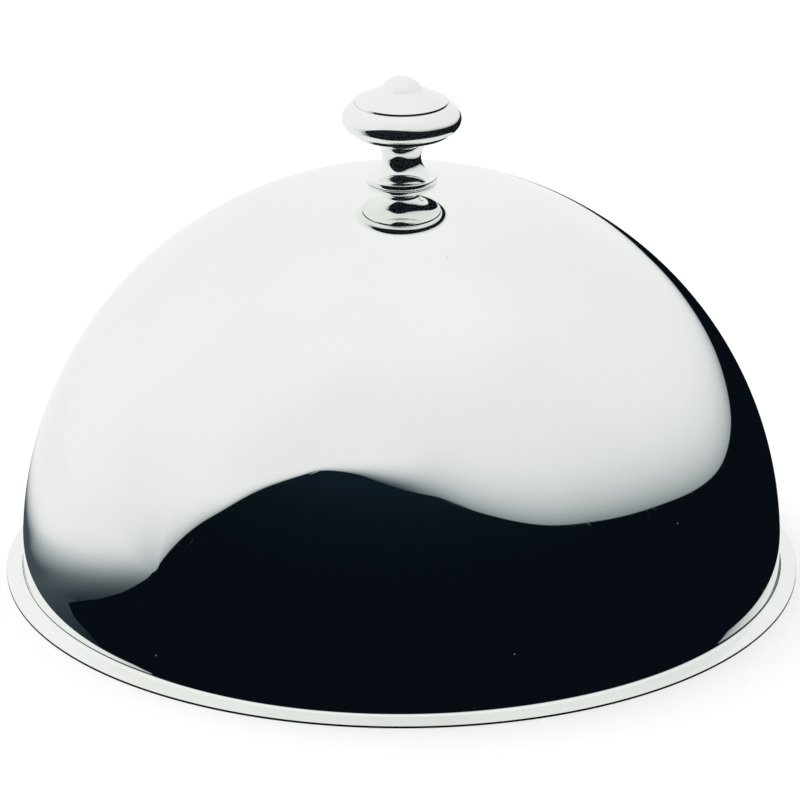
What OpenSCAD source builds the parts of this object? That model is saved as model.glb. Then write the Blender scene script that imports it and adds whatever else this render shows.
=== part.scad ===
// Buffet food cover: a spun metal dome with a turned-out rim and a turned knob.
// One stud runs down through the knob and the dome and clamps the whole stack with a cap nut inside.
// Millimetres, Z up. The rim rests on z = 0 and the axis of the dome is the Z axis.

/* [Dome] */
// Outside diameter of the round dome wall
dome_d = 250; // [180:1:320]
// Thickness of the spun sheet
sheet_t = 0.8; // [0.6:0.1:1.4]
// Height of the straight wall between the rim's flare and the round part
wall_h = 5.7; // [1:0.1:20]
// Diameter of the pressed flat at the top, where the knob stands
seat_d = 22; // [20:0.5:23]

/* [Rim] */
// Width of the turned-out rim, measured from the wall
rim_w = 3.7; // [3.7:0.1:14]
// Radius of the flare between wall and rim, on the outside of the dome
rim_flare_r = 3; // [2:0.1:3.4]
// Rounding of the outer edge of the rim
rim_edge_r = 0.2; // [0.1:0.05:0.25]

/* [Knob stem] */
// Diameter of the foot of the stem
foot_d = 23.1; // [22.5:0.1:26]
// Radius of the round bead that edges the foot
foot_bead_r = 1; // [0.9:0.05:1.4]
// Diameter at the narrowest place of the stem
waist_d = 12.6; // [11:0.1:15]
// Radius of the hollow curve from the foot's bead up to the waist
foot_sweep_r = 6.3; // [5.5:0.1:9]
// Length of the straight neck at the waist
neck_l = 0.15; // [0.1:0.05:3]
// Thickness of the flat table that ends the stem, let into the cap from below
table_t = 1.6; // [1.2:0.1:2]

/* [Knob cap] */
// Widest diameter of the cap
cap_d = 38.5; // [37:0.1:46]
// Radius of the round edge below the widest place
edge_low_r = 3.65; // [3:0.05:4.2]
// Radius of the round edge at and just above the widest place
edge_top_r = 4.2; // [3.6:0.1:5]
// Angle above the widest place at which the upper edge passes into its flatter curve
edge_turn = 30; // [20:1:40]
// Radius of the flatter curve that leads on to the crown
edge_roll_r = 7.5; // [6.5:0.1:9]
// Diameter of the loose crown that closes the cap
crown_d = 30; // [28:0.1:31]
// Height by which the edge of the crown stands above the cap
crown_step = 0.7; // [0.2:0.05:1]
// Height of the crown from its edge to the foot of the button
crown_rise = 3.8; // [3:0.1:6]
// Radius of the gentle curve of the crown, seen from the side
crown_curve_r = 60; // [40:1:90]
// Radius of the ball of the button
button_r = 7.4; // [6:0.1:8.5]
// Height of the button's top above the edge of the crown
button_top_h = 8; // [7.5:0.1:10]
// Radius of the hollow curve between button and crown
button_fillet_r = 1.5; // [1:0.1:4]

/* [Fixing] */
// Diameter of the stud
stud_d = 6; // [5:0.5:7]
// Diameter of the soft seat ring under the foot
gasket_d = 18; // [14:0.5:19]
// Thickness of the soft seat ring
gasket_t = 0.8; // [0.4:0.1:1]
// Diameter of the backing washer inside the dome
washer_d = 18; // [14:0.5:19]
// Thickness of the backing washer
washer_t = 1.2; // [0.8:0.1:2]
// Diameter of the spring washer
spring_d = 11.8; // [10.5:0.1:13]
// Thickness of the spring washer
spring_t = 1.6; // [1:0.1:2.2]
// Width across the flats of the cap nut
nut_af = 10; // [9.5:0.5:13]
// Height of the six-sided part of the cap nut
nut_hex_h = 5; // [4:0.5:7]

/* [Hidden] */
$fn = 180;

// clearances and small working sizes
bore_clear = 0.3;
thread_clear = 0.05;
joint_gap = 0.06;
pocket_land = 0.04;
groove_chamfer = 0.2;
web_t = 2.2;
seat_land = 3.4;
crown_edge_t = 1.4;
boss_wall = 2.2;
boss_lift = 0.6;
stud_tip_gap = 0.6;
stud_chamfer = 0.7;
crown_skin_t = 4.6;
spring_slot_w = 0.9;
spring_slot_angle = 25;
nut_skin_t = 1.4;
nut_chamfer_angle = 30;
washer_chamfer = 0.25;
cut_slack = 1;
tangent_lap = 0.0003;

// dome
dome_r = dome_d / 2;
dome_in_r = dome_r - sheet_t;
rim_r = dome_r + rim_w;
flare_x = dome_r + rim_flare_r;
flare_z = sheet_t + rim_flare_r;
centre_z = flare_z + wall_h;
seat_r = seat_d / 2;
seat_h = sqrt(pow(dome_r, 2) - pow(seat_r, 2));
seat_z = centre_z + seat_h;
inner_seat_z = seat_z - sheet_t;

// stud and bores
stud_r = stud_d / 2;
bore_r = stud_r + bore_clear;
tap_r = stud_r + thread_clear;

// lower edge of the cap, and the pocket and table that lie inside it
cap_r = cap_d / 2;
edge_low_x = cap_r - edge_low_r;
pocket_r = edge_low_x - pocket_land;
table_r = pocket_r - joint_gap;

// stem, heights measured from the seat; bead and hollow curve touch each other
foot_r = foot_d / 2;
waist_r = waist_d / 2;
bead_c = [foot_r - foot_bead_r, foot_bead_r];
bead_reach = foot_bead_r + foot_sweep_r - tangent_lap;
foot_sweep_x = waist_r + foot_sweep_r;
waist_h = foot_bead_r + sqrt(pow(bead_reach, 2) - pow(foot_sweep_x - bead_c[0], 2));
foot_sweep_c = [foot_sweep_x, waist_h];
neck_top_h = waist_h + neck_l;
neck_sweep_r = table_r - waist_r;
under_h = neck_top_h + neck_sweep_r;
table_top_h = under_h + table_t;

// cap, two upper edge curves that share one normal where they meet
widest_h = under_h + edge_low_r;
edge_top_c = [cap_r - edge_top_r, widest_h];
turn_dir = [cos(edge_turn), sin(edge_turn)];
edge_roll_c = edge_top_c - (edge_roll_r - edge_top_r + tangent_lap) * turn_dir;
turn_h = widest_h + edge_top_r * sin(edge_turn);
crown_r = crown_d / 2;
recess_r = crown_r + joint_gap;
crown_edge_h = edge_roll_c[1] + sqrt(pow(edge_roll_r, 2) - pow(recess_r - edge_roll_c[0], 2));
crown_rim_h = crown_edge_h + crown_step;
crown_seat_h = crown_edge_h - crown_edge_t;
cavity_r = crown_r - seat_land;
cavity_floor_h = table_top_h + web_t;
boss_r = stud_r + boss_wall;
boss_low_h = cavity_floor_h + boss_lift;

// button ball and crown curve, as centre points in the profile
button_top = crown_rim_h + button_top_h;
button_c = [0, button_top - button_r];
button_foot_h = crown_rim_h + crown_rise;
button_foot_r = sqrt(pow(button_r, 2) - pow(button_foot_h - button_c[1], 2));
chord = [button_foot_r - crown_r, crown_rise];
chord_l = norm(chord);
chord_mid = [(button_foot_r + crown_r) / 2, crown_rim_h + crown_rise / 2];
crown_drop = sqrt(pow(crown_curve_r, 2) - pow(chord_l / 2, 2));
crown_c = chord_mid - crown_drop * [crown_rise, crown_r - button_foot_r] / chord_l;

// hollow curve between them: its centre keeps the two radii
fillet_a = button_r + button_fillet_r;
fillet_b = crown_curve_r + button_fillet_r;
centres = crown_c - button_c;
centres_l = norm(centres);
fillet_s = (pow(fillet_a, 2) - pow(fillet_b, 2) + pow(centres_l, 2)) / (2 * centres_l);
fillet_t = sqrt(pow(fillet_a, 2) - pow(fillet_s, 2));
along = centres / centres_l;
fillet_c = button_c + fillet_s * along + fillet_t * [-along[1], along[0]];
fillet_on_button = button_c + (fillet_c - button_c) * button_r / fillet_a;
fillet_on_crown = crown_c + (fillet_c - crown_c) * crown_curve_r / fillet_b;
stud_top_h = button_top - crown_skin_t - stud_tip_gap;

// fixing inside the dome
gasket_r = gasket_d / 2;
washer_z = inner_seat_z - washer_t;
spring_z = washer_z - spring_t;
nut_corner_r = nut_af / 2 / cos(30);
nut_dome_r = nut_af / 2 - washer_chamfer;
nut_cone_r = nut_dome_r + nut_hex_h / tan(nut_chamfer_angle);
nut_hex_z = spring_z - nut_hex_h;
nut_dome_z = nut_hex_z - nut_dome_r / 2;
nut_tip_z = nut_dome_z - nut_dome_r;
stud_low_z = nut_tip_z + nut_skin_t + stud_r;

// one bent strip of sheet: rounded edge of the rim, flare, straight wall, round part, flat seat
module dome_profile() {
    translate([0, centre_z])
        difference() {
            intersection() {
                circle(dome_r);
                square([dome_r, seat_h]);
            }
            intersection() {
                circle(dome_in_r);
                square([dome_in_r, seat_h - sheet_t]);
            }
            square([bore_r, dome_r]);
        }
    translate([dome_in_r, flare_z])
        square([sheet_t, wall_h]);
    intersection() {
        translate([flare_x, flare_z])
            difference() {
                circle(flare_z);
                circle(rim_flare_r);
            }
        translate([dome_in_r, 0])
            square([flare_z, flare_z]);
    }
    translate([flare_x, 0])
        square([rim_r - rim_edge_r - flare_x, sheet_t]);
    translate([flare_x, rim_edge_r])
        square([rim_r - flare_x, sheet_t - 2 * rim_edge_r]);
    translate([rim_r - rim_edge_r, rim_edge_r])
        circle(rim_edge_r);
    translate([rim_r - rim_edge_r, sheet_t - rim_edge_r])
        circle(rim_edge_r);
}

module dome_shell() {
    color([0.80, 0.81, 0.82])
        rotate_extrude()
            dome_profile();
}

module seat_gasket() {
    color([0.16, 0.16, 0.17])
        translate([0, 0, seat_z])
            difference() {
                cylinder(h = gasket_t, r = gasket_r);
                translate([0, 0, -cut_slack])
                    cylinder(h = gasket_t + 2 * cut_slack, r = bore_r);
            }
}

// foot with a round bead, hollow curve to the waist, short neck, wide hollow curve out to the table
module stem_profile() {
    difference() {
        union() {
            translate(bead_c)
                circle(foot_bead_r);
            difference() {
                polygon([[0, 0], [bead_c[0], 0], bead_c, foot_sweep_c, [0, waist_h]]);
                translate(foot_sweep_c)
                    circle(foot_sweep_r);
            }
            translate([0, waist_h])
                square([waist_r, neck_l]);
            difference() {
                translate([0, neck_top_h])
                    square([table_r, neck_sweep_r + table_t]);
                translate([table_r, neck_top_h])
                    circle(neck_sweep_r);
            }
        }
        translate([table_r, under_h])
            polygon([[-groove_chamfer - cut_slack, -cut_slack], [cut_slack, groove_chamfer + cut_slack],
                     [cut_slack, -cut_slack]]);
        square([bore_r, table_top_h + cut_slack]);
        square([gasket_r, gasket_t]);
    }
}

module knob_stem() {
    color([0.80, 0.81, 0.82])
        translate([0, 0, seat_z])
            rotate_extrude()
                stem_profile();
}

// round edge of the cap in three curves, pocket below for the table, hollow and stepped recess above
module bowl_profile() {
    difference() {
        union() {
            intersection() {
                translate([edge_low_x, widest_h])
                    circle(edge_low_r);
                translate([edge_low_x, under_h])
                    square([edge_low_r, edge_low_r]);
            }
            translate([0, under_h])
                square([edge_low_x, edge_low_r]);
            intersection() {
                translate(edge_top_c)
                    circle(edge_top_r);
                translate([0, widest_h])
                    square([cap_r, edge_top_r]);
            }
            translate([0, widest_h])
                square([edge_top_c[0], turn_h - widest_h]);
            intersection() {
                translate(edge_roll_c)
                    circle(edge_roll_r);
                translate([edge_roll_c[0], turn_h])
                    square([edge_roll_r, edge_roll_r]);
            }
            translate([0, turn_h])
                square([edge_roll_c[0], crown_edge_h - turn_h]);
        }
        translate([0, crown_seat_h])
            square([recess_r, crown_edge_t + edge_roll_r]);
        translate([0, cavity_floor_h])
            square([cavity_r, edge_low_r + edge_roll_r]);
        translate([0, under_h])
            square([pocket_r, table_t]);
        translate([pocket_r, under_h])
            polygon([[groove_chamfer + cut_slack, -cut_slack], [-cut_slack, groove_chamfer + cut_slack],
                     [-cut_slack, -cut_slack]]);
        square([bore_r, cavity_floor_h + cut_slack]);
    }
}

module cap_bowl() {
    color([0.80, 0.81, 0.82])
        translate([0, 0, seat_z])
            rotate_extrude()
                bowl_profile();
}

// lid of the cap: gently curved crown, ball button, hollow curve between, tapped boss below
module crown_profile() {
    difference() {
        union() {
            intersection() {
                translate(crown_c)
                    circle(crown_curve_r);
                translate([0, crown_seat_h])
                    square([crown_r, button_foot_h - crown_seat_h]);
            }
            intersection() {
                translate(button_c)
                    circle(button_r);
                translate([0, crown_seat_h])
                    square([button_r, button_r + button_top_h + crown_edge_t]);
            }
            difference() {
                polygon([[0, fillet_on_crown[1]], fillet_on_crown, fillet_c, fillet_on_button]);
                translate(fillet_c)
                    circle(button_fillet_r);
            }
            translate([0, boss_low_h])
                square([boss_r, crown_seat_h - boss_low_h + cut_slack]);
        }
        translate([0, boss_low_h - cut_slack])
            square([tap_r, stud_top_h + stud_tip_gap - boss_low_h + cut_slack]);
    }
}

module cap_crown() {
    color([0.80, 0.81, 0.82])
        translate([0, 0, seat_z])
            rotate_extrude()
                crown_profile();
}

module tie_stud() {
    color([0.66, 0.67, 0.69])
        translate([0, 0, stud_low_z]) {
            cylinder(h = stud_chamfer, r1 = stud_r - stud_chamfer, r2 = stud_r);
            translate([0, 0, stud_chamfer])
                cylinder(h = seat_z + stud_top_h - stud_low_z - 2 * stud_chamfer, r = stud_r);
            translate([0, 0, seat_z + stud_top_h - stud_low_z - stud_chamfer])
                cylinder(h = stud_chamfer, r1 = stud_r, r2 = stud_r - stud_chamfer);
        }
}

module backing_washer() {
    color([0.70, 0.71, 0.73])
        translate([0, 0, washer_z])
            difference() {
                union() {
                    cylinder(h = washer_chamfer, r1 = washer_d / 2 - washer_chamfer, r2 = washer_d / 2);
                    translate([0, 0, washer_chamfer])
                        cylinder(h = washer_t - washer_chamfer, r = washer_d / 2);
                }
                translate([0, 0, -cut_slack])
                    cylinder(h = washer_t + 2 * cut_slack, r = bore_r);
            }
}

module spring_washer() {
    color([0.60, 0.61, 0.63])
        translate([0, 0, spring_z])
            difference() {
                cylinder(h = spring_t, r = spring_d / 2);
                translate([0, 0, -cut_slack])
                    cylinder(h = spring_t + 2 * cut_slack, r = bore_r);
                translate([spring_d / 2, 0, spring_t / 2])
                    rotate([spring_slot_angle, 0, 0])
                        cube([spring_d, spring_slot_w, 4 * spring_t], center = true);
            }
}

module cap_nut() {
    color([0.74, 0.75, 0.77])
        difference() {
            union() {
                intersection() {
                    translate([0, 0, nut_hex_z])
                        cylinder(h = nut_hex_h, r = nut_corner_r, $fn = 6);
                    translate([0, 0, nut_hex_z])
                        cylinder(h = nut_hex_h, r1 = nut_dome_r, r2 = nut_cone_r);
                    translate([0, 0, nut_hex_z])
                        cylinder(h = nut_hex_h, r1 = nut_cone_r, r2 = nut_dome_r);
                }
                translate([0, 0, nut_dome_z])
                    cylinder(h = nut_hex_z - nut_dome_z + washer_chamfer, r = nut_dome_r);
                translate([0, 0, nut_dome_z])
                    sphere(nut_dome_r);
            }
            translate([0, 0, stud_low_z - stud_tip_gap])
                cylinder(h = spring_z - stud_low_z + stud_tip_gap + cut_slack, r = tap_r);
        }
}

dome_shell();
seat_gasket();
knob_stem();
cap_bowl();
cap_crown();
tie_stud();
backing_washer();
spring_washer();
cap_nut();
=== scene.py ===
import math

import bmesh
import bpy
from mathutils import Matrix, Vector


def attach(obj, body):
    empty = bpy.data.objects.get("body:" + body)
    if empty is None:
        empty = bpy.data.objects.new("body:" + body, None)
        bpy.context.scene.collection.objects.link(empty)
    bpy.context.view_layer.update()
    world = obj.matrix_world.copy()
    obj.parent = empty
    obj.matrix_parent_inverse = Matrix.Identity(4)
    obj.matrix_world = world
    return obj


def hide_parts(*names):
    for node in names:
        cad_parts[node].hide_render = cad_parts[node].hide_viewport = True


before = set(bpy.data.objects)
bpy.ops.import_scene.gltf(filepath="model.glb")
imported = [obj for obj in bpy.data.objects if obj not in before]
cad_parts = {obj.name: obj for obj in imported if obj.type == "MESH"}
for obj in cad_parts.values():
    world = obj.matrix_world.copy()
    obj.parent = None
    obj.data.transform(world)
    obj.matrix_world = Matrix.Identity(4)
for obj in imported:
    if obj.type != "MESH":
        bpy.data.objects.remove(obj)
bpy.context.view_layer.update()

MM = 0.001

# Sizes of the part in millimetres and degrees, the same as in its source.
SHEET = 0.8
DOME_R = 125.0
CENTRE_Z = 9.5
SEAT_R = 11.0
BORE_R = 3.3

FOOT_R = 11.55
FOOT_BEAD_R = 1.0
WAIST_R = 6.3
FOOT_SWEEP_R = 6.3
NECK_L = 0.15
TABLE_T = 1.6
GASKET_R = 9.0
GASKET_T = 0.8

CAP_R = 19.25
EDGE_LOW_R = 3.65
EDGE_TOP_R = 4.2
EDGE_TURN = 30.0
EDGE_ROLL_R = 7.5
JOINT_GAP = 0.06
POCKET_LAND = 0.04
GROOVE = 0.2
WEB_T = 2.2
SEAT_LAND = 3.4

CROWN_R = 15.0
CROWN_STEP = 0.7
CROWN_RISE = 3.8
CROWN_CURVE_R = 60.0
CROWN_EDGE_T = 1.4
CROWN_SKIN_T = 4.6
BUTTON_R = 7.4
BUTTON_TOP_H = 8.0
BUTTON_FILLET_R = 1.5
TAP_R = 3.05
BOSS_R = 5.2
BOSS_LIFT = 0.6

# Sizes that differ from the source, as the photograph's reflections show them: the rim is wider,
# slopes a little and lies higher, the edge of the stem's table shows as a fine line under the cap,
# and the bead of the foot is squarer (the power to which its sine and cosine are raised).
RIM_W = 5.5
RIM_SLOPE = math.radians(12.2)
RIM_CORNER_R = 1.5
RIM_EDGE_R = 0.1
RIM_Z = 1.1
TABLE_SHOWS = 1.1
FOOT_SQUARE = 0.5

# Heights and radii that follow from them. Heights of the knob start at the seat of its foot.
DOME_IN_R = DOME_R - SHEET
RIM_R = DOME_R + RIM_W
CORNER_X = DOME_R + RIM_CORNER_R
CORNER_Z = (RIM_Z + SHEET + (RIM_W - RIM_CORNER_R) * math.tan(RIM_SLOPE)
            + RIM_CORNER_R / math.cos(RIM_SLOPE))
SEAT_H = math.sqrt(DOME_R ** 2 - SEAT_R ** 2)
SEAT_Z = CENTRE_Z + SEAT_H
EDGE_LOW_X = CAP_R - EDGE_LOW_R
POCKET_R = EDGE_LOW_X - POCKET_LAND
TABLE_R = POCKET_R - JOINT_GAP
BEAD_C = Vector((FOOT_R - FOOT_BEAD_R, FOOT_BEAD_R))
FOOT_SWEEP_X = WAIST_R + FOOT_SWEEP_R
WAIST_H = FOOT_BEAD_R + math.sqrt((FOOT_BEAD_R + FOOT_SWEEP_R) ** 2
                                  - (FOOT_SWEEP_X - BEAD_C[0]) ** 2)
NECK_TOP_H = WAIST_H + NECK_L
NECK_SWEEP_R = TABLE_R - WAIST_R
UNDER_H = NECK_TOP_H + NECK_SWEEP_R
TABLE_TOP_H = UNDER_H + TABLE_T
WIDEST_H = UNDER_H + EDGE_LOW_R
EDGE_TOP_C = Vector((CAP_R - EDGE_TOP_R, WIDEST_H))
TURN_DIR = Vector((math.cos(math.radians(EDGE_TURN)), math.sin(math.radians(EDGE_TURN))))
EDGE_ROLL_C = EDGE_TOP_C - (EDGE_ROLL_R - EDGE_TOP_R) * TURN_DIR
RECESS_R = CROWN_R + JOINT_GAP
CROWN_EDGE_H = EDGE_ROLL_C[1] + math.sqrt(EDGE_ROLL_R ** 2 - (RECESS_R - EDGE_ROLL_C[0]) ** 2)
CROWN_RIM_H = CROWN_EDGE_H + CROWN_STEP
CROWN_SEAT_H = CROWN_EDGE_H - CROWN_EDGE_T
CAVITY_R = CROWN_R - SEAT_LAND
CAVITY_FLOOR_H = TABLE_TOP_H + WEB_T
BUTTON_TOP = CROWN_RIM_H + BUTTON_TOP_H
BUTTON_C = Vector((0.0, BUTTON_TOP - BUTTON_R))

# Fineness of the turned meshes: sides round the axis, and steps along each curve of a profile.
DOME_SIDES = 384
KNOB_SIDES = 224
DOME_STEPS = 120
DOME_IN_STEPS = 110
CORNER_STEPS = 24
RIM_EDGE_STEPS = 6
BEAD_STEPS = 48
FOOT_SWEEP_STEPS = 40
NECK_STEPS = 48
EDGE_LOW_STEPS = 40
EDGE_TOP_STEPS = 16
EDGE_ROLL_STEPS = 20
CROWN_STEPS = 24
FILLET_STEPS = 14
BUTTON_STEPS = 26
SHARP_ANGLE = math.radians(24)
CLOSE = 1e-6

# Places of a piece's materials: its polished face, and the satin inside or the joint's painted
# shade.
FACE = 0
OTHER = 1


def add_object(name, data):
    obj = bpy.data.objects.new(name, data)
    bpy.context.scene.collection.objects.link(obj)
    return obj


def arc(centre, radius, start, end, steps):
    """Points on a circle in the profile, angles in degrees."""
    out = []
    for i in range(steps + 1):
        a = math.radians(start + (end - start) * i / steps)
        out.append((centre[0] + radius * math.cos(a), centre[1] + radius * math.sin(a)))
    return out


def squared(centre, radius, start, end, steps):
    """Like arc, but the round is flattened towards a square."""
    out = []
    for x, z in arc((0, 0), 1.0, start, end, steps):
        out.append((centre[0] + radius * math.copysign(abs(x) ** FOOT_SQUARE, x),
                    centre[1] + radius * math.copysign(abs(z) ** FOOT_SQUARE, z)))
    return out


def angle_of(centre, point):
    return math.degrees(math.atan2(point[1] - centre[1], point[0] - centre[0]))


def same_point(p, q):
    return abs(p[0] - q[0]) + abs(p[1] - q[1]) < CLOSE


def face_out(mesh):
    """Makes every face point out of the solid."""
    bm = bmesh.new()
    bm.from_mesh(mesh)
    bmesh.ops.recalc_face_normals(bm, faces=bm.faces)
    bm.to_mesh(mesh)
    bm.free()


def lathe(name, runs, sides, lift=0.0):
    """Turns a closed profile about Z. runs holds (points, material place); they meet end to end."""
    ring = []
    for points, place in runs:
        for p in points:
            if not ring or not same_point(p, ring[-1][0]):
                ring.append((p, place))
    if same_point(ring[0][0], ring[-1][0]):
        ring.pop()
    verts = []
    rows = []
    for (r, z), _ in ring:
        height = (z + lift) * MM
        if r < CLOSE:
            rows.append([len(verts)] * sides)
            verts.append((0.0, 0.0, height))
            continue
        rows.append(list(range(len(verts), len(verts) + sides)))
        for s in range(sides):
            a = math.tau * s / sides
            verts.append((r * MM * math.cos(a), r * MM * math.sin(a), height))
    faces = []
    places = []
    for i, (p, _) in enumerate(ring):
        j = (i + 1) % len(ring)
        q, place = ring[j]
        if p[0] < CLOSE and q[0] < CLOSE:
            continue
        for s in range(sides):
            t = (s + 1) % sides
            quad = (rows[i][s], rows[i][t], rows[j][t], rows[j][s])
            faces.append(list(dict.fromkeys(quad)))
            places.append(place)
    mesh = bpy.data.meshes.new(name)
    mesh.from_pydata(verts, [], faces)
    mesh.polygons.foreach_set("material_index", places)
    mesh.shade_smooth()
    mesh.set_sharp_from_angle(angle=SHARP_ANGLE)
    mesh.update()
    face_out(mesh)
    return add_object(name, mesh)


# The pieces that the photograph shows, turned finely enough for clean mirror images.

def make_dome():
    centre = (0.0, CENTRE_Z)
    corner_c = (CORNER_X, CORNER_Z)
    slope = math.degrees(RIM_SLOPE)
    edge = RIM_EDGE_R
    in_seat_h = SEAT_H - SHEET
    top = angle_of(centre, (SEAT_R, SEAT_Z))
    in_top = angle_of((0, 0), (math.sqrt(DOME_IN_R ** 2 - in_seat_h ** 2), in_seat_h))
    outside = [(BORE_R, SEAT_Z), (SEAT_R, SEAT_Z)]
    outside += arc(centre, DOME_R, top, 0, DOME_STEPS)
    outside += [(DOME_R, (CENTRE_Z + CORNER_Z) / 2)]
    outside += arc(corner_c, RIM_CORNER_R, 180, 270 - slope, CORNER_STEPS)
    outside += arc((RIM_R - edge, RIM_Z + SHEET - edge), edge, 90 - slope, 0, RIM_EDGE_STEPS)
    outside += arc((RIM_R - edge, RIM_Z + edge), edge, 0, -90 - slope, RIM_EDGE_STEPS)
    inside = arc(corner_c, SHEET + RIM_CORNER_R, 270 - slope, 180, CORNER_STEPS)
    inside += arc(centre, DOME_IN_R, 0, in_top, DOME_IN_STEPS)
    inside += [(BORE_R, CENTRE_Z + in_seat_h), (BORE_R, SEAT_Z)]
    return lathe("dome", [(outside, FACE), (inside, OTHER)], DOME_SIDES)


def make_stem():
    sweep_c = Vector((FOOT_SWEEP_X, WAIST_H))
    meet = angle_of(BEAD_C, sweep_c)
    neck_h = UNDER_H - TABLE_SHOWS - NECK_TOP_H
    shape = [(BORE_R, GASKET_T), (GASKET_R, GASKET_T), (GASKET_R, 0.0), (BEAD_C[0], 0.0)]
    shape += squared(BEAD_C, FOOT_BEAD_R, -90, meet, BEAD_STEPS)
    shape += arc(sweep_c, FOOT_SWEEP_R, meet + 180, 180, FOOT_SWEEP_STEPS)
    shape += [(TABLE_R + NECK_SWEEP_R * x, NECK_TOP_H + neck_h * z)
              for x, z in arc((0, 0), 1.0, 180, 90, NECK_STEPS)]
    shape += [(TABLE_R, UNDER_H)]
    # The table's edge takes the joint's painted shade.
    gap = [(TABLE_R, TABLE_TOP_H)]
    top = [(BORE_R, TABLE_TOP_H)]
    return lathe("stem", [(shape, FACE), (gap, OTHER), (top, FACE)], KNOB_SIDES, SEAT_Z)


def make_bowl():
    low_c = (EDGE_LOW_X, WIDEST_H)
    start_r = POCKET_R + GROOVE
    start = (start_r, WIDEST_H - math.sqrt(EDGE_LOW_R ** 2 - (start_r - EDGE_LOW_X) ** 2))
    roll_end = angle_of(EDGE_ROLL_C, (RECESS_R, CROWN_EDGE_H))
    under = [(BORE_R, TABLE_TOP_H), (POCKET_R, TABLE_TOP_H)]
    # The joint faces here take the joint's painted shade.
    low_gap = [(POCKET_R, UNDER_H + GROOVE), start]
    shape = arc(low_c, EDGE_LOW_R, angle_of(low_c, start), 0, EDGE_LOW_STEPS)
    shape += arc(EDGE_TOP_C, EDGE_TOP_R, 0, EDGE_TURN, EDGE_TOP_STEPS)
    shape += arc(EDGE_ROLL_C, EDGE_ROLL_R, EDGE_TURN, roll_end, EDGE_ROLL_STEPS)
    gap = [(RECESS_R, CROWN_SEAT_H)]
    hidden = [(CAVITY_R, CROWN_SEAT_H), (CAVITY_R, CAVITY_FLOOR_H), (BORE_R, CAVITY_FLOOR_H)]
    runs = [(under, FACE), (low_gap, OTHER), (shape, FACE), (gap, OTHER), (hidden, FACE)]
    return lathe("cap_edge", runs, KNOB_SIDES, SEAT_Z)


def make_crown():
    # Centre of the crown's curve, from the button's foot to the crown's rim.
    foot_h = CROWN_RIM_H + CROWN_RISE
    foot_r = math.sqrt(BUTTON_R ** 2 - (foot_h - BUTTON_C[1]) ** 2)
    chord_l = math.hypot(CROWN_R - foot_r, CROWN_RISE)
    mid = Vector(((foot_r + CROWN_R) / 2, CROWN_RIM_H + CROWN_RISE / 2))
    drop = math.sqrt(CROWN_CURVE_R ** 2 - (chord_l / 2) ** 2)
    curve_c = mid - drop * Vector((CROWN_RISE, CROWN_R - foot_r)) / chord_l
    # Centre of the fillet, which touches both the button and the curve.
    ra = BUTTON_R + BUTTON_FILLET_R
    rb = CROWN_CURVE_R + BUTTON_FILLET_R
    span = (curve_c - BUTTON_C).length
    along = (curve_c - BUTTON_C) / span
    s = (ra ** 2 - rb ** 2 + span ** 2) / (2 * span)
    across = math.sqrt(ra ** 2 - s ** 2) * Vector((-along[1], along[0]))
    fillet_c = BUTTON_C + s * along + across
    on_button = BUTTON_C + (fillet_c - BUTTON_C) * BUTTON_R / ra
    on_crown = curve_c + (fillet_c - curve_c) * CROWN_CURVE_R / rb
    fillet_a = angle_of(fillet_c, on_crown)
    fillet_b = angle_of(fillet_c, on_button)
    if fillet_b > fillet_a:
        fillet_b -= 360
    rim_a = angle_of(curve_c, (CROWN_R, CROWN_RIM_H))
    button_a = angle_of(BUTTON_C, on_button)
    boss_h = CAVITY_FLOOR_H + BOSS_LIFT
    tap_h = BUTTON_TOP - CROWN_SKIN_T
    hidden = [(TAP_R, boss_h), (BOSS_R, boss_h), (BOSS_R, CROWN_SEAT_H), (CROWN_R, CROWN_SEAT_H)]
    # The joint face here takes the joint's painted shade.
    gap = [(CROWN_R, CROWN_EDGE_H - JOINT_GAP)]
    shape = arc(curve_c, CROWN_CURVE_R, rim_a, angle_of(curve_c, on_crown), CROWN_STEPS)
    shape += arc(fillet_c, BUTTON_FILLET_R, fillet_a, fillet_b, FILLET_STEPS)
    shape += arc(BUTTON_C, BUTTON_R, button_a, 90, BUTTON_STEPS)[:-1]
    shape += [(0.0, BUTTON_TOP), (0.0, tap_h), (TAP_R, tap_h)]
    return lathe("cap_top", [(hidden, FACE), (gap, OTHER), (shape, FACE)], KNOB_SIDES, SEAT_Z)


# Materials.

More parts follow.
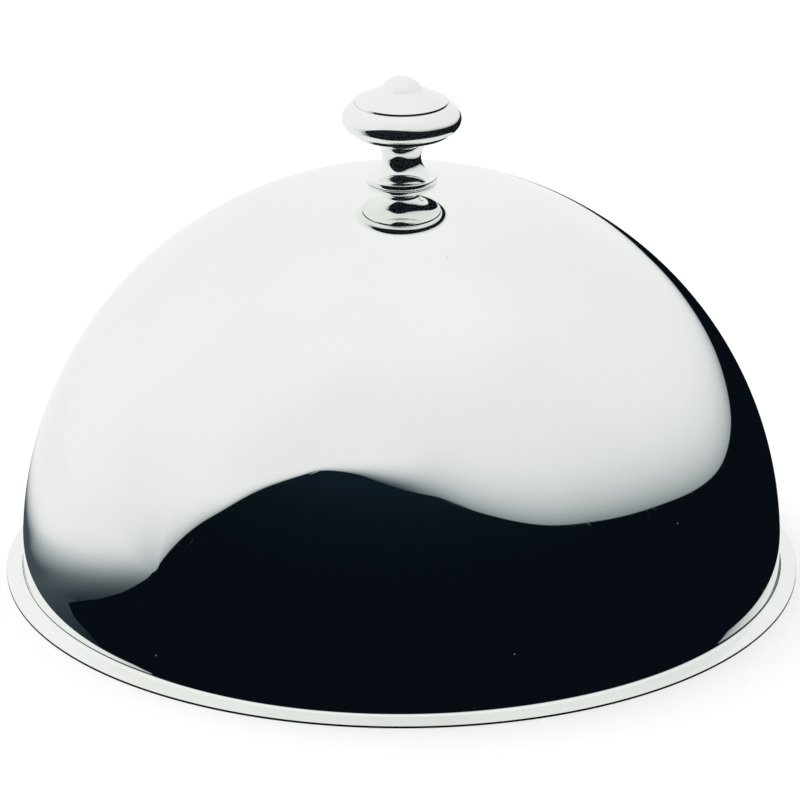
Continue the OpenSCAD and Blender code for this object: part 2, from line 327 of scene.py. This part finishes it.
class Nodes:
    """Short hand for building a material's nodes."""

    def __init__(self, name):
        self.mat = bpy.data.materials.new(name)
        self.mat.use_nodes = True
        self.tree = self.mat.node_tree
        self.tree.nodes.clear()
        self.out = self.add("ShaderNodeOutputMaterial")

    def add(self, kind, **values):
        node = self.tree.nodes.new(kind)
        for key, value in values.items():
            setattr(node, key, value)
        return node

    def link(self, a, b):
        self.tree.links.new(a, b)

    def surface(self, node):
        self.link(node.outputs[0], self.out.inputs["Surface"])
        return node

    def emission(self, colour):
        node = self.add("ShaderNodeEmission")
        node.inputs["Color"].default_value = (*colour, 1.0)
        return node

    def sum(self, a, b):
        node = self.add("ShaderNodeAddShader")
        self.link(a.outputs[0], node.inputs[0])
        self.link(b.outputs[0], node.inputs[1])
        return node

    def math(self, op, a, b=None, clamp=False):
        node = self.add("ShaderNodeMath", operation=op, use_clamp=clamp)
        for i, v in enumerate((a, b)):
            if v is None:
                continue
            if isinstance(v, (int, float)):
                node.inputs[i].default_value = v
            else:
                self.link(v, node.inputs[i])
        return node.outputs[0]

    def ramp(self, value, low, high, to_low=0.0, to_high=1.0):
        node = self.add("ShaderNodeMapRange", interpolation_type="SMOOTHSTEP", clamp=True)
        self.link(value, node.inputs["Value"])
        node.inputs["From Min"].default_value = low
        node.inputs["From Max"].default_value = high
        node.inputs["To Min"].default_value = to_low
        node.inputs["To Max"].default_value = to_high
        return node.outputs["Result"]

    def place(self, scale=(1, 1, 1), turn=(0, 0, 0)):
        coord = self.add("ShaderNodeTexCoord")
        mapping = self.add("ShaderNodeMapping")
        mapping.inputs["Scale"].default_value = scale
        mapping.inputs["Rotation"].default_value = turn
        self.link(coord.outputs["Object"], mapping.inputs["Vector"])
        return mapping.outputs["Vector"]

    def noise(self, vector, scale, detail, rough=0.5):
        node = self.add("ShaderNodeTexNoise")
        self.link(vector, node.inputs["Vector"])
        node.inputs["Scale"].default_value = scale
        node.inputs["Detail"].default_value = detail
        node.inputs["Roughness"].default_value = rough
        return node.outputs["Fac"]

    def specks(self, vector, scale, size, share):
        """Small round specks, only in some of the cells. The smallest have a third of the size."""
        least = size * 0.35
        node = self.add("ShaderNodeTexVoronoi", feature="F1")
        self.link(vector, node.inputs["Vector"])
        node.inputs["Scale"].default_value = scale
        split = self.add("ShaderNodeSeparateColor")
        self.link(node.outputs["Color"], split.inputs["Color"])
        radius = self.ramp(split.outputs["Green"], 0.0, 1.0, least, size)
        inside = self.math("SUBTRACT", radius, node.outputs["Distance"])
        dot = self.ramp(inside, 0.0, least)
        chosen = self.math("LESS_THAN", split.outputs["Red"], share)
        return self.math("MULTIPLY", dot, chosen)

    def blend(self, factor, a, b):
        node = self.add("ShaderNodeMix", data_type="RGBA")
        self.link(factor, node.inputs["Factor"])
        for socket, v in (("A", a), ("B", b)):
            target = [s for s in node.inputs if s.name == socket and s.type == "RGBA"][0]
            if isinstance(v, tuple):
                target.default_value = (*v, 1.0)
            else:
                self.link(v, target)
        return [s for s in node.outputs if s.type == "RGBA"][0]

    def bump(self, height, strength, distance, **values):
        node = self.add("ShaderNodeBump", **values)
        node.inputs["Strength"].default_value = strength
        node.inputs["Distance"].default_value = distance
        self.link(height, node.inputs["Height"])
        return node


def polished(name, colour, dust_scale, dust_share, wave_scale, wave_height, film):
    """Mirror metal: faint wipe marks, hairlines, dust and the slight waviness of spun sheet."""
    cloud_dim = 0.965
    dirt_colour = (0.30, 0.30, 0.29)
    clean_rough, wiped_rough = 0.012, 0.05
    hair_rough, dirt_rough = 0.05, 0.55
    fine_scale, fine_share = dust_scale * 2.3, dust_share * 0.7
    n = Nodes(name)
    shader = n.surface(n.add("ShaderNodeBsdfPrincipled"))
    plain = n.place()
    cloud = n.noise(plain, scale=14.0, detail=3.0)
    wipe = n.noise(n.place(scale=(1.0, 1.0, 7.0)), scale=30.0, detail=4.0, rough=0.6)
    hair_place = n.place(scale=(1.0, 14.0, 1.0), turn=(0.4, 0.2, 0.9))
    hairline = n.ramp(n.noise(hair_place, scale=120.0, detail=1.0), low=0.735, high=0.75)
    dust = n.specks(plain, dust_scale, size=0.05, share=dust_share)
    fine = n.specks(n.place(turn=(0.7, 0.3, 0.2)), fine_scale, size=0.07, share=fine_share)
    dirt = n.math("MAXIMUM", dust, fine)
    dimmed = tuple(c * cloud_dim for c in colour)
    tone = n.blend(n.ramp(cloud, low=0.35, high=0.7), colour, dimmed)
    n.link(n.blend(dirt, tone, dirt_colour), shader.inputs["Base Color"])
    n.link(n.math("SUBTRACT", 1.0 - film, dirt, True), shader.inputs["Metallic"])
    wiped = n.ramp(wipe, low=0.45, high=0.8, to_low=clean_rough, to_high=wiped_rough)
    rough = n.math("ADD", wiped, n.math("MULTIPLY", hairline, hair_rough))
    rough = n.math("ADD", rough, n.math("MULTIPLY", dirt, dirt_rough), True)
    n.link(rough, shader.inputs["Roughness"])
    wave = n.noise(plain, wave_scale, detail=1.0, rough=0.4)
    waves = n.bump(wave, strength=1.0, distance=wave_height)
    scratches = n.bump(hairline, strength=0.25, distance=0.000004, invert=True)
    n.link(waves.outputs["Normal"], scratches.inputs["Normal"])
    n.link(scratches.outputs["Normal"], shader.inputs["Normal"])
    return n.mat


def turned(name, colour, roughness, rings):
    """Plain turned or spun metal: fine rings about the axis."""
    cloud_dim = 0.86
    smoothest, roughest = roughness * 0.8, roughness * 1.25
    n = Nodes(name)
    shader = n.surface(n.add("ShaderNodeBsdfPrincipled"))
    shader.inputs["Metallic"].default_value = 1.0
    coord = n.add("ShaderNodeTexCoord").outputs["Object"]
    split = n.add("ShaderNodeSeparateXYZ")
    n.link(coord, split.inputs[0])
    squares = [n.math("POWER", split.outputs[i], 2.0) for i in (0, 1)]
    radius = n.math("SQRT", n.math("ADD", *squares))
    join = n.add("ShaderNodeCombineXYZ")
    n.link(radius, join.inputs[0])
    n.link(split.outputs[2], join.inputs[1])
    ring = n.noise(join.outputs[0], rings, detail=4.0, rough=0.7)
    cloud = n.noise(coord, scale=25.0, detail=3.0)
    dimmed = tuple(c * cloud_dim for c in colour)
    tone = n.blend(n.ramp(cloud, low=0.3, high=0.75), colour, dimmed)
    n.link(tone, shader.inputs["Base Color"])
    in_rings = n.ramp(ring, low=0.3, high=0.7, to_low=smoothest, to_high=roughest)
    in_clouds = n.ramp(cloud, low=0.4, high=0.8, to_low=0.0, to_high=0.06)
    n.link(n.math("ADD", in_rings, in_clouds), shader.inputs["Roughness"])
    grooves = n.bump(ring, strength=0.35, distance=0.00003)
    n.link(grooves.outputs["Normal"], shader.inputs["Normal"])
    return n.mat


def dull(name, dark, pale, scale, detail, roughest):
    """Dull cloudy stuff: rubber, or near-black painted shade inside a narrow joint."""
    n = Nodes(name)
    shader = n.surface(n.add("ShaderNodeBsdfPrincipled"))
    cloud = n.noise(n.place(), scale, detail)
    n.link(n.blend(cloud, dark, pale), shader.inputs["Base Color"])
    rough = n.ramp(cloud, low=0.2, high=0.8, to_low=0.6, to_high=roughest)
    n.link(rough, shader.inputs["Roughness"])
    return n.mat


METAL = (0.945, 0.963, 0.938)
dome_skin = polished("polished_dome", METAL, dust_scale=110.0, dust_share=0.05,
                     wave_scale=9.0, wave_height=0.00012, film=0.0)
knob_skin = polished("polished_knob", METAL, dust_scale=160.0, dust_share=0.05,
                     wave_scale=60.0, wave_height=0.000004, film=0.014)
satin = turned("satin_inside", (0.74, 0.75, 0.75), roughness=0.30, rings=2600.0)
steel = turned("plain_steel", (0.60, 0.61, 0.62), roughness=0.32, rings=9000.0)
bright = turned("bright_nut", (0.74, 0.75, 0.76), roughness=0.14, rings=9000.0)
# Near-black painted shade for the faces inside the knob's narrow joints.
joint_painted_shade = dull("joint_painted_shade", (0.012, 0.012, 0.013), (0.03, 0.03, 0.03),
                  scale=900.0, detail=3.0, roughest=0.8)
rubber = dull("seat_rubber", (0.028, 0.028, 0.030), (0.055, 0.054, 0.053),
              scale=400.0, detail=4.0, roughest=0.85)

dome = make_dome()
dome.data.materials.append(dome_skin)
dome.data.materials.append(satin)
stem = make_stem()
bowl = make_bowl()
crown = make_crown()
for piece, node in ((dome, "dome_shell"), (stem, "knob_stem"),
                    (bowl, "cap_bowl"), (crown, "cap_crown")):
    if piece is not dome:
        piece.data.materials.append(knob_skin)
        # The knob's joint faces take the painted shade; the dome's inside takes satin.
        piece.data.materials.append(joint_painted_shade)
    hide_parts(node)
    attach(piece, "root")
for node, mat in (("seat_gasket", rubber), ("tie_stud", steel), ("backing_washer", steel),
                  ("spring_washer", steel), ("cap_nut", bright)):
    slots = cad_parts[node].data.materials
    slots.clear()
    slots.append(mat)


# Camera, at the photograph's place. Metres; lens and sensor in millimetres.
ELEVATION = math.radians(21.43)
DISTANCE = 1.567
AIM = Vector((0.0, 0.0, 0.0579))
LENS = 215.3
SENSOR_W = 36.0
SHIFT = (-0.0019, 0.0006)


def look_at(obj, target):
    obj.rotation_euler = (target - obj.location).to_track_quat("-Z", "Y").to_euler()


def make_camera():
    data = bpy.data.cameras.new("camera")
    data.lens = LENS
    data.sensor_width = SENSOR_W
    data.shift_x, data.shift_y = SHIFT
    camera = add_object("camera", data)
    camera.location = AIM + DISTANCE * Vector((0.0, -math.cos(ELEVATION), math.sin(ELEVATION)))
    look_at(camera, AIM)
    bpy.context.scene.camera = camera


# Studio: pale floor, white surroundings, and black flags that only the metal sees, with painted
# shadow on the floor left of the card. Metres.
WHITE = (1.0, 1.0, 1.0)
FLOOR_COLOUR = (0.82, 0.82, 0.82, 1.0)
FLOOR_Z = RIM_Z * MM
FLOOR_R = 9
FLOOR_SIDES = 96
FLOOR_GLOW = 0.28
SKY_LIGHT = 0.80
SKY_SEEN = 1.0
WHITE_IN_METAL = 0.92
LAMP_AT = (-0.5, 0.3, 1.9)
LAMP_SIZE = 1.6
LAMP_POWER = 9.0


def level(tree, lit, to_camera, to_metal):
    """Strength by the kind of ray: what lights things, what the camera sees, what metal shows."""
    path = tree.nodes.new("ShaderNodeLightPath")
    total = None
    for name, value in (("Is Camera Ray", to_camera), ("Is Glossy Ray", to_metal),
                        ("Is Transmission Ray", to_metal)):
        part = tree.nodes.new("ShaderNodeMath")
        part.operation = "MULTIPLY_ADD"
        tree.links.new(path.outputs[name], part.inputs[0])
        part.inputs[1].default_value = value - lit
        if total is None:
            part.inputs[2].default_value = lit
        else:
            tree.links.new(total, part.inputs[2])
        total = part.outputs[0]
    return total


def make_floor():
    """Lit and shaded for the camera. Plain white for the metal, where the flags shade it."""
    n = Nodes("floor")
    diffuse = n.add("ShaderNodeBsdfDiffuse")
    diffuse.inputs["Color"].default_value = FLOOR_COLOUR
    glow = n.emission(WHITE)
    n.link(level(n.tree, 0.0, FLOOR_GLOW, 0.0), glow.inputs["Strength"])
    lit = n.sum(diffuse, glow)
    plain = n.emission(WHITE)
    plain.inputs["Strength"].default_value = WHITE_IN_METAL
    pick = n.surface(n.add("ShaderNodeMixShader"))
    n.link(level(n.tree, 0.0, 0.0, 1.0), pick.inputs["Fac"])
    n.link(lit.outputs[0], pick.inputs[1])
    n.link(plain.outputs[0], pick.inputs[2])
    turns = [math.tau * i / FLOOR_SIDES for i in range(FLOOR_SIDES)]
    corners = [(FLOOR_R * math.cos(a), FLOOR_R * math.sin(a), FLOOR_Z) for a in turns]
    mesh = bpy.data.meshes.new("floor")
    mesh.from_pydata(corners, [], [list(range(FLOOR_SIDES))])
    obj = add_object("floor", mesh)
    mesh.materials.append(n.mat)


def make_world():
    world = bpy.data.worlds.new("world")
    bpy.context.scene.world = world
    world.use_nodes = True
    tree = world.node_tree
    tree.nodes.clear()
    out = tree.nodes.new("ShaderNodeOutputWorld")
    sky = tree.nodes.new("ShaderNodeBackground")
    sky.inputs["Color"].default_value = (*WHITE, 1.0)
    tree.links.new(level(tree, SKY_LIGHT, SKY_SEEN, WHITE_IN_METAL), sky.inputs["Strength"])
    tree.links.new(sky.outputs[0], out.inputs["Surface"])


def make_lamp():
    data = bpy.data.lights.new("softbox", "AREA")
    data.shape = "DISK"
    data.size = LAMP_SIZE
    data.energy = LAMP_POWER
    lamp = add_object("softbox", data)
    lamp.location = LAMP_AT
    look_at(lamp, Vector((0, 0, 0)))
    lamp.visible_glossy = False
    lamp.visible_camera = False


# The black flag that stands round the front. Azimuth from the camera's side, height of its upper
# edge, length over which it thins out above that, and density just above the edge.
FLAG_R = 1.3
FLAG_EDGE = (
    (-120, -0.012, 0.20, 0.0), (-104, -0.012, 0.20, 0.06), (-92, -0.012, 0.20, 0.11),
    (-84, -0.012, 0.18, 0.23), (-77, -0.012, 0.15, 0.50), (-73.2, -0.012, 0.14, 0.64),
    (-72.3, 0.031, 0.13, 0.66), (-67.2, 0.204, 0.085, 0.66), (-62.3, 0.346, 0.06, 0.67),
    (-57.3, 0.47, 0.038, 0.72), (-47.3, 0.728, 0.025, 0.80), (-35.9, 0.955, 0.018, 0.75),
    (-29.5, 1.055, 0.02, 0.75), (-22.4, 1.093, 0.032, 0.78), (-15, 1.085, 0.06, 0.86),
    (-7.6, 1.03, 0.11, 0.93), (0, 0.966, 0.15, 0.94), (6.5, 0.915, 0.18, 0.86),
    (13.1, 0.862, 0.195, 0.79), (25.2, 0.69, 0.195, 0.74), (42.9, 0.495, 0.195, 0.73),
    (62, 0.368, 0.195, 0.75), (83.8, 0.24, 0.175, 0.73), (101.6, 0.128, 0.15, 0.70),
    (113.9, 0.068, 0.13, 0.68), (128.6, 0.036, 0.11, 0.67), (139.6, 0.029, 0.075, 0.75),
    (148.9, 0.014, 0.05, 0.72), (156.5, 0.001, 0.04, 0.70), (165, -0.03, 0.04, 0.30),
    (170, -0.06, 0.04, 0.0))
HEIGHT, LENGTH, DENSITY = 1, 2, 3
FLAG_STEP = 0.5
FLAG_FOOT = 0.02
FLAG_HEM = 0.001
FALL_STEPS = (0.15, 0.3, 0.5, 0.7, 0.9, 1.15, 1.4, 1.7, 2.1, 2.6, 3.3, 4.5)
FIRST_UP = 0.005
FALL_BEND = 0.6
FALL_BEND_FROM = (0.75, 0.94)

# Faint grey high over the front and right: amounts, each with the azimuths between which it comes.
HAZE = ((0.03, -120, -90), (0.06, -75, -35), (-0.03, 70, 150), (-0.06, 140, 170))
HAZE_UPS = (1.2, 1.7, 2.3, 3.0, 4.0, 5.5)
HAZE_H = 2.6

# The cloth: colour, tint of what comes through, and how much paler it gets towards its top.
CLOTH_BLACK = (0.0022, 0.0042, 0.0066)
CLOTH_TINT = (1.09, 1.0, 0.962)
CLOTH_PALER = 1.6
CLOTH_PALER_POWER = 2.5
CLOTH_PALER_SCALE = 1.03

# The black card on the floor in front: where it begins on the left, as distance from the axis and
# azimuth. Behind the object it ends in a straight line with a soft edge, given by the direction
# across and the place on the y axis, and straight behind it fades into the left floor.
CARD_EDGE = ((0.1300, -50.0), (0.1345, -56.5), (0.1385, -65.0), (0.145, -70.2), (0.155, -69.4),
             (0.178, -67.8), (0.222, -67.3), (0.345, -68.8), (0.6, -71.1), (1.3, -72.95))
CARD_BACK_ACROSS = (-0.91, 0.414)
CARD_BACK_Y = 0.3576
CARD_BACK_SOFT = 0.015
CARD_FADE = (171, 180)
CARD_LIFT = 0.00003
CARD_UNDER_RIM = 0.0005
CARD_TURNS = 260

# The floor left of the card, with painted shadow on it. Its light turns about a point beside the
# axis (degrees): it is clear behind, gets dusky with painted soft shadow at a certain turn, and has
# a painted contact shadow as a dark ring round the rim. The ring's start, width and power are given
# for the clear and for the dusky side.
PIVOT = (-0.058, 0.022)
BEHIND = 90
CLEAR = 0.94
CLEAR_GAIN = 0.0009
CLEAR_GAIN_TURN = 60.0
SHADOW_TURN = 18.5
SHADOW_W = 6.3
CONTACT_SHADOW = ((0.146, 0.138), (0.022, 0.035), (1.25, 0.90))
CONTACT_SHADOW_CHANGES = (-4, 12)
CONTACT_SHADOW_ENDS = (22, 36)
NEAR_CLEAR = 0.07
NEAR_LOSS = 0.0025
NEAR_LOSS_AZ = -79.0
NEAR_ENDS = (0.147, 0.165)
LEAST_CLEAR = 0.05
LEAST_ENDS = (36, 44)
TO_WALL = (0.45, 1.2)
LEFT_TURNS = 120
LEFT_TURN_POWER = 1.4

# Rings of the floor's meshes: first radius, step and number, and the last ones singly.
FINE_RINGS = (0.1325, 0.003, 80)
MIDDLE_RINGS = (0.380, 0.012, 14)
WIDE_RINGS = (0.56, 0.62, 0.7, 0.8, 0.9, 1.08, FLAG_R)


def smooth(low, high, v):
    t = min(max((v - low) / (high - low), 0.0), 1.0)
    return t * t * (3 - 2 * t)


def polar(az, r, z):
    a = math.radians(az)
    return (r * math.sin(a), -r * math.cos(a), z)


def along_edge(az, column):
    """Smooth curve through one column of the flag's edge."""
    rows = FLAG_EDGE
    if az <= rows[0][0]:
        return rows[0][column]
    for k in range(len(rows) - 1):
        a, b = rows[k], rows[k + 1]
        if az <= b[0]:
            before = rows[max(k - 1, 0)]
            after = rows[min(k + 2, len(rows) - 1)]
            t = (az - a[0]) / (b[0] - a[0])
            m0 = (b[column] - before[column]) / (b[0] - before[0]) * (b[0] - a[0])
            m1 = (after[column] - a[column]) / (after[0] - a[0]) * (b[0] - a[0])
            return ((2 * t ** 3 - 3 * t ** 2 + 1) * a[column] + (t ** 3 - 2 * t ** 2 + t) * m0
                    + (3 * t ** 2 - 2 * t ** 3) * b[column] + (t ** 3 - t ** 2) * m1)
    return rows[-1][column]


def fall_off(az, up):
    """Density at a height above the black edge. It bends more where it starts dense."""
    start = along_edge(az, DENSITY)
    rest = min(sum(amount * smooth(low, high, az) for amount, low, high in HAZE), start)
    bend = 1.0 + FALL_BEND * smooth(*FALL_BEND_FROM, start)
    near = (start - rest) * math.exp(-(up / along_edge(az, LENGTH)) ** bend)
    return near + rest * math.exp(-(up / HAZE_H) ** 2)


def card_edge(r):
    """Azimuth at which the card begins on the left."""
    for (r0, a0), (r1, a1) in zip(CARD_EDGE, CARD_EDGE[1:]):
        if r <= r1:
            return a0 + (a1 - a0) * (r - r0) / (r1 - r0)
    return CARD_EDGE[-1][1]


def left_floor_shadowed(az, r):
    """How clear the floor looks left of the card, under its painted shadow."""
    x, y, _ = polar(az, r, 0.0)
    turn = math.degrees(math.atan2(PIVOT[1] - y, PIVOT[0] - x))
    if turn > BEHIND:
        turn -= 360
    gain = CLEAR_GAIN * min(max(-turn, 0.0), CLEAR_GAIN_TURN)
    # Painted soft shadow: past a certain turn about the pivot the floor goes dark.
    far = (CLEAR + gain) / (1.0 + math.exp((turn - SHADOW_TURN) / SHADOW_W))
    # Painted contact shadow: a dark ring round the rim, wider on the dark side.
    shadowed = smooth(*CONTACT_SHADOW_CHANGES, turn)
    start, width, power = (a + (b - a) * shadowed for a, b in CONTACT_SHADOW)
    ring = 1.0 - math.exp(-(max(r - start, 0.0) / width) ** power)
    ring += (1.0 - ring) * smooth(*CONTACT_SHADOW_ENDS, turn)
    near = NEAR_CLEAR - NEAR_LOSS * max(az - NEAR_LOSS_AZ, 0.0)
    near *= 1.0 - smooth(*NEAR_ENDS, r)
    least = LEAST_CLEAR * (1.0 - smooth(*LEAST_ENDS, turn))
    clear = max(far * ring, near, least)
    at_wall = 1.0
    if az > FLAG_EDGE[0][0]:
        at_wall -= fall_off(az, max(-along_edge(az, HEIGHT), 0.0))
    return clear + (at_wall - clear) * smooth(*TO_WALL, r)


def front_floor(az, r):
    """How clear the floor looks where the card lies: not at all, but for the card's back, which
    fades into the painted shadow of the left floor.
    """
    x, y, _ = polar(az, r, 0.0)
    if y <= 0:
        return 0.0
    past = CARD_BACK_ACROSS[0] * x + CARD_BACK_ACROSS[1] * (y - CARD_BACK_Y)
    return max(smooth(-CARD_BACK_SOFT, CARD_BACK_SOFT, past),
               smooth(*CARD_FADE, az) * left_floor_shadowed(-180, r))


def flag_material():
    """Black cloth, paler towards its top. The mesh's own attribute says how dense it is; on the
    floor sheet left of the card, that density is painted shadow.
    """
    n = Nodes("flag")
    black = n.emission(CLOTH_BLACK)
    dense = n.add("ShaderNodeAttribute", attribute_name="dense").outputs["Fac"]
    split = n.add("ShaderNodeSeparateXYZ")
    n.link(n.place(), split.inputs[0])
    height = n.math("MULTIPLY", split.outputs[2], CLOTH_PALER_SCALE, True)
    height = n.math("POWER", height, CLOTH_PALER_POWER)
    paler = n.math("ADD", 1.0, n.math("MULTIPLY", height, CLOTH_PALER))
    n.link(n.math("MULTIPLY", dense, paler), black.inputs["Strength"])
    through = n.math("SUBTRACT", 1.0, dense, True)
    tint = n.add("ShaderNodeCombineColor")
    for socket, power in zip(("Red", "Green", "Blue"), CLOTH_TINT):
        n.link(n.math("POWER", through, power), tint.inputs[socket])
    clear = n.add("ShaderNodeBsdfTransparent")
    n.link(tint.outputs[0], clear.inputs["Color"])
    n.surface(n.sum(clear, black))
    return n.mat


def flag_sheet(name, rows, material):
    """A sheet from rows of (point, density), seen only in reflections."""
    width = len(rows[0])
    verts = [p for row in rows for p, _ in row]
    faces = [(i * width + j, i * width + j + 1, (i + 1) * width + j + 1, (i + 1) * width + j)
             for i in range(len(rows) - 1) for j in range(width - 1)]
    mesh = bpy.data.meshes.new(name)
    mesh.from_pydata(verts, [], faces)
    dense = mesh.attributes.new("dense", "FLOAT", "POINT")
    dense.data.foreach_set("value", [d for row in rows for _, d in row])
    mesh.materials.append(material)
    mesh.update()
    obj = add_object(name, mesh)
    obj.visible_camera = False
    obj.visible_diffuse = False
    obj.visible_transmission = False
    obj.visible_shadow = False


def wall_rows():
    """Columns of the standing flag, from below the floor up to where it has thinned out."""
    first, last = FLAG_EDGE[0][0], FLAG_EDGE[-1][0]
    rows = []
    for i in range(round((last - first) / FLAG_STEP) + 1):
        az = first + i * FLAG_STEP
        edge = along_edge(az, HEIGHT)
        length = along_edge(az, LENGTH)
        row = [(polar(az, FLAG_R, min(edge, 0.0) - FLAG_FOOT), 1.0),
               (polar(az, FLAG_R, edge - FLAG_HEM), 1.0)]
        ups = [FIRST_UP, *(length * k for k in FALL_STEPS), *HAZE_UPS]
        rows.append(row + [(polar(az, FLAG_R, edge + up), fall_off(az, up)) for up in ups])
    return rows


def floor_rows():
    """Rings of the floor left of the card, with its painted shadow, and of the card. They are
    finest near the rim.
    """
    radii = [RIM_R * MM - CARD_UNDER_RIM]
    for first, step, count in (FINE_RINGS, MIDDLE_RINGS):
        radii += [first + step * i for i in range(count)]
    radii += WIDE_RINGS
    height = FLOOR_Z + CARD_LIFT
    left = []
    front = []
    for r in radii:
        start = card_edge(r)
        turns = [start - (start + 180) * (k / LEFT_TURNS) ** LEFT_TURN_POWER
                 for k in range(LEFT_TURNS + 1)]
        left.append([(polar(az, r, height), 1.0 - left_floor_shadowed(az, r)) for az in turns])
        turns = [start + (180 - start) * k / CARD_TURNS for k in range(CARD_TURNS + 1)]
        front.append([(polar(az, r, height), 1.0 - front_floor(az, r)) for az in turns])
    return left, front


def make_flags():
    material = flag_material()
    left, front = floor_rows()
    flag_sheet("flag_wall", wall_rows(), material)
    # This sheet carries the painted shadow on the floor left of the card.
    flag_sheet("painted_shadow_floor_left", left, material)
    flag_sheet("flag_floor_front", front, material)


make_camera()
make_floor()
make_world()
make_lamp()
make_flags()
bpy.context.scene.view_settings.view_transform = "Standard"
